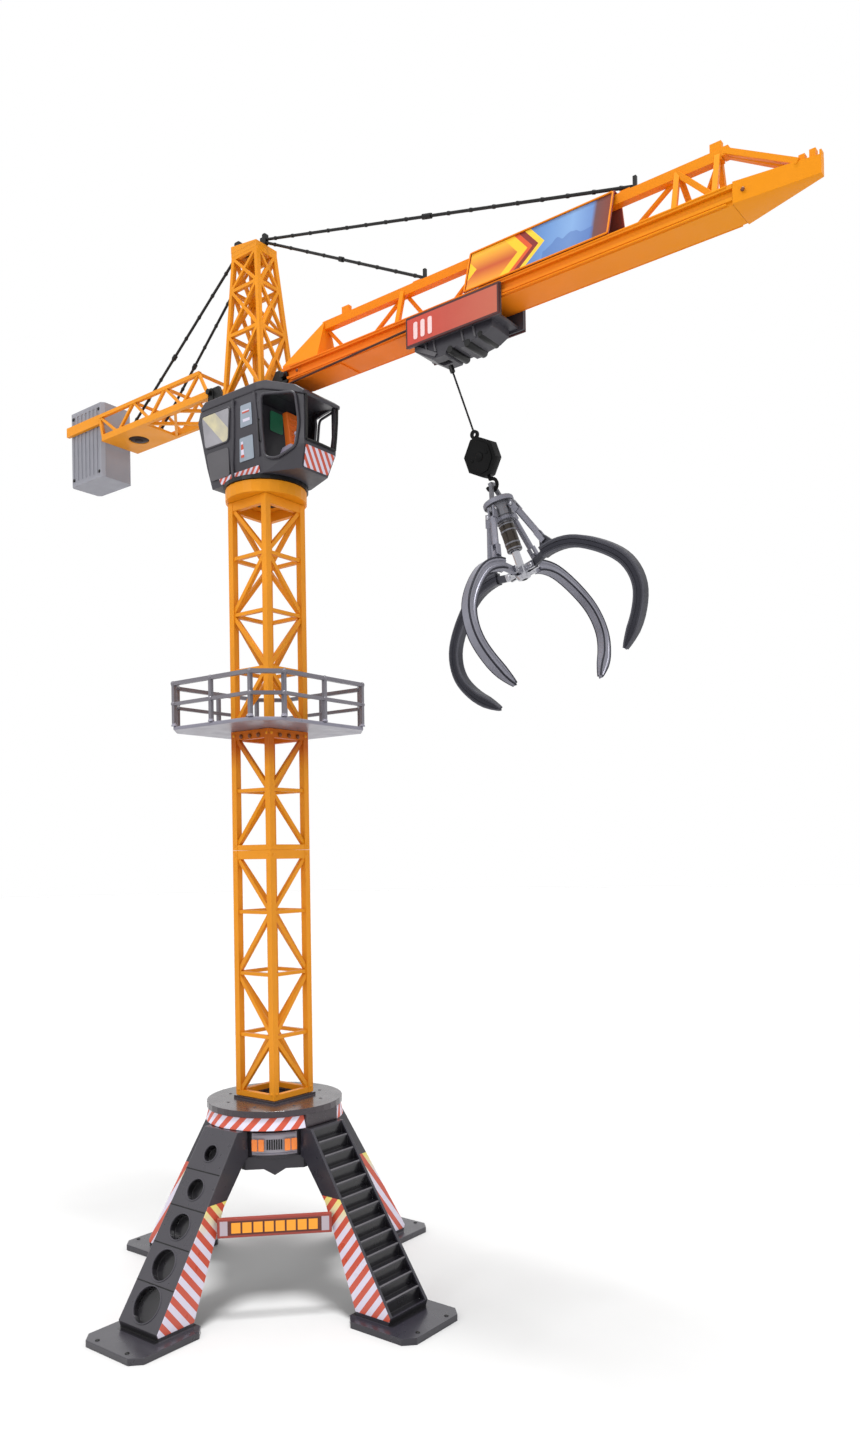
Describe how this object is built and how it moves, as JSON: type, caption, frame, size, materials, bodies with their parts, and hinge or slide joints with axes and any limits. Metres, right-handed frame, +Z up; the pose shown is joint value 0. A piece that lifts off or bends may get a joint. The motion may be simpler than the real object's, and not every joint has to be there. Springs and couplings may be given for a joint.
{
  "type": "toy tower crane",
  "caption": "Toy tower crane with a lattice mast on splayed legs, a slewing cab and jib, a trolley and a clawed grapple hanging on a cord.",
  "frame": {"origin": "on the floor, under the centre of the whole object's box at rest; the mast's axis stands 141.5 mm behind it, at X = -0.1415", "axes": "+Z up along the mast, +X along the jib at rest and towards the leg with steps, +Y to the left of someone looking along the jib"},
  "size_m": [0.981, 0.464, 1.2],
  "materials": {
    "mast_orange": "satin moulded plastic",
    "jib_orange": "satin moulded plastic",
    "charcoal": "satin moulded plastic",
    "silver_grey": "silver-grey moulded plastic",
    "weight_grey": "matt grey moulded plastic",
    "plate_red": "red sticker with a dark border",
    "sign_blue": null,
    "black": "black moulded plastic",
    "gunmetal": "plastic with metallic paint",
    "steel": "plated rod",
    "seat_orange": "moulded plastic",
    "hazard": "printed red and white hazard stripes",
    "cord": "braided black cord"
  },
  "bodies": {
    "root": {"base_cap": "charcoal", "base_rim": "hazard", "base_hub": "charcoal", "lamp_panel": "silver_grey", "sign_bar": "hazard", "leg_with_steps": "charcoal", "leg_rear_right": "charcoal", "leg_rear_left": "charcoal", "leg_front_left": "charcoal", "mast_lower": "mast_orange", "mast_middle": "mast_orange", "mast_upper": "mast_orange", "platform_deck": "silver_grey", "platform_railing": "silver_grey", "crown_ring": "mast_orange", "slew_ring_gear": "silver_grey"},
    "upper": {"turntable": "black", "cab_housing": "charcoal", "cab_roof": "charcoal", "cab_seat": "seat_orange", "slew_motor": "silver_grey", "top_frame": "black", "tower_head": "mast_orange", "head_clip": "black", "jib_inner": "jib_orange", "jib_outer": "jib_orange", "jib_nose": "jib_orange", "jib_sign": "sign_blue", "trolley_line": "cord", "counter_jib": "jib_orange", "counterweight": "weight_grey", "forestay_lower": "black", "forestay_upper": "black", "backstay_left": "black", "backstay_right": "black"},
    "pinion": {"slew_pinion": "silver_grey"},
    "drum": {"winch_drum": "black"},
    "trolley": {"trolley_frame": "charcoal", "trolley_plate_left": "plate_red", "trolley_plate_right": "plate_red"},
    "wheel_lr": {"wheel_left_rear": "black"},
    "wheel_lf": {"wheel_left_front": "black"},
    "wheel_rr": {"wheel_right_rear": "black"},
    "wheel_rf": {"wheel_right_front": "black"},
    "sheave": {"hoist_sheave": "black"},
    "swing": {"cord_guide": "black", "hoist_cord": "cord"},
    "hook": {"hook_block": "black"},
    "grapple": {"hook": "black", "grapple_head": "gunmetal"},
    "plunger": {"plunger": "steel"},
    "claw_a": {"claw_1": "gunmetal"},
    "claw_b": {"claw_2": "gunmetal"},
    "claw_c": {"claw_3": "gunmetal"},
    "claw_d": {"claw_4": "gunmetal"},
    "strut_a": {"strut_1": "gunmetal"},
    "strut_b": {"strut_2": "gunmetal"},
    "strut_c": {"strut_3": "gunmetal"},
    "strut_d": {"strut_4": "gunmetal"}
  },
  "joints": [
    {"name": "slew", "type": "hinge", "parent": "root", "child": "upper", "pos_m": [-0.1415, 0, 0.9071], "axis": [0, 0, 1], "range_deg": [-175, 175]},
    {"name": "pinion_roll", "type": "hinge", "parent": "upper", "child": "pinion", "pos_m": [-0.1685, 0, 0.9], "axis": [0, 0, 1], "continuous": true},
    {"name": "drum_turn", "type": "hinge", "parent": "upper", "child": "drum", "pos_m": [-0.1455, 0, 0.962], "axis": [0, 1, 0], "continuous": true},
    {"name": "trolley_travel", "type": "slide", "parent": "upper", "child": "trolley", "axis": [1, 0, 0], "range_m": [-0.1, 0.19]},
    {"name": "wheel_lr_roll", "type": "hinge", "parent": "trolley", "child": "wheel_lr", "pos_m": [0.1005, -0.017, 1.0225], "axis": [0, 1, 0], "continuous": true},
    {"name": "wheel_lf_roll", "type": "hinge", "parent": "trolley", "child": "wheel_lf", "pos_m": [0.1845, -0.017, 1.0225], "axis": [0, 1, 0], "continuous": true},
    {"name": "wheel_rr_roll", "type": "hinge", "parent": "trolley", "child": "wheel_rr", "pos_m": [0.1005, 0.017, 1.0225], "axis": [0, 1, 0], "continuous": true},
    {"name": "wheel_rf_roll", "type": "hinge", "parent": "trolley", "child": "wheel_rf", "pos_m": [0.1845, 0.017, 1.0225], "axis": [0, 1, 0], "continuous": true},
    {"name": "sheave_turn", "type": "hinge", "parent": "trolley", "child": "sheave", "pos_m": [0.1165, 0, 0.989], "axis": [0, 1, 0], "continuous": true},
    {"name": "load_swing", "type": "hinge", "parent": "trolley", "child": "swing", "pos_m": [0.1235, 0, 0.9775], "axis": [-0.4802, 0.8771, 0], "range_deg": [-12, 34]},
    {"name": "hoist", "type": "slide", "parent": "swing", "child": "hook", "axis": [0.2725, 0.1492, -0.9505], "range_m": [-0.045, 0.6], "deforming": ["hoist_cord"]},
    {"name": "grapple_swivel", "type": "hinge", "parent": "hook", "child": "grapple", "pos_m": [0.15647, 0.01805, 0.86249], "axis": [-0.2725, -0.1492, 0.9505], "continuous": true},
    {"name": "grab", "type": "slide", "parent": "grapple", "child": "plunger", "axis": [-0.2725, -0.1492, 0.9505], "range_m": [-0.0052, 0.0141]},
    {"name": "claw_a_turn", "type": "hinge", "parent": "plunger", "child": "claw_a", "pos_m": [0.19746, 0.03198, 0.77017], "axis": [0.0379, 0.9855, 0.1656], "range_deg": [-10.6, 28.4]},
    {"name": "claw_b_turn", "type": "hinge", "parent": "plunger", "child": "claw_b", "pos_m": [0.18453, 0.04692, 0.7688], "axis": [-0.9614, 0.0812, -0.2629], "range_deg": [-10.6, 28.4]},
    {"name": "claw_c_turn", "type": "hinge", "parent": "plunger", "child": "claw_c", "pos_m": [0.17054, 0.03426, 0.76281], "axis": [-0.0379, -0.9855, -0.1656], "range_deg": [-10.6, 28.4]},
    {"name": "claw_d_turn", "type": "hinge", "parent": "plunger", "child": "claw_d", "pos_m": [0.18347, 0.01932, 0.76417], "axis": [0.9614, -0.0812, 0.2629], "range_deg": [-10.6, 28.4]},
    {"name": "strut_a_turn", "type": "hinge", "parent": "grapple", "child": "strut_a", "pos_m": [0.18098, 0.02236, 0.83126], "axis": [0.0379, 0.9855, 0.1656], "range_deg": [-7.5, 3]},
    {"name": "strut_b_turn", "type": "hinge", "parent": "grapple", "child": "strut_b", "pos_m": [0.16713, 0.03835, 0.8298], "axis": [-0.9614, 0.0812, -0.2629], "range_deg": [-7.5, 3]},
    {"name": "strut_c_turn", "type": "hinge", "parent": "grapple", "child": "strut_c", "pos_m": [0.15214, 0.02479, 0.82338], "axis": [-0.0379, -0.9855, -0.1656], "range_deg": [-7.5, 3]},
    {"name": "strut_d_turn", "type": "hinge", "parent": "grapple", "child": "strut_d", "pos_m": [0.16599, 0.00879, 0.82484], "axis": [0.9614, -0.0812, 0.2629], "range_deg": [-7.5, 3]}
  ],
  "couplings": [
    {"joint": "pinion_roll", "follows": "slew", "ratio": -4},
    {"joint": "drum_turn", "follows": "hoist", "rad_per_m": 142.86},
    {"joint": "sheave_turn", "follows": "hoist", "rad_per_m": 142.86},
    {"joint": "wheel_lr_roll", "follows": "trolley_travel", "rad_per_m": 312.5},
    {"joint": "wheel_lf_roll", "follows": "trolley_travel", "rad_per_m": 312.5},
    {"joint": "wheel_rr_roll", "follows": "trolley_travel", "rad_per_m": 312.5},
    {"joint": "wheel_rf_roll", "follows": "trolley_travel", "rad_per_m": 312.5},
    {"joint": "claw_a_turn", "follows": "grab", "rad_per_m": 34.66},
    {"joint": "claw_b_turn", "follows": "grab", "rad_per_m": 34.66},
    {"joint": "claw_c_turn", "follows": "grab", "rad_per_m": 34.66},
    {"joint": "claw_d_turn", "follows": "grab", "rad_per_m": 34.66},
    {"joint": "strut_a_turn", "follows": "grab", "rad_per_m": -8.85},
    {"joint": "strut_b_turn", "follows": "grab", "rad_per_m": -8.85},
    {"joint": "strut_c_turn", "follows": "grab", "rad_per_m": -8.85},
    {"joint": "strut_d_turn", "follows": "grab", "rad_per_m": -8.85}
  ]
}
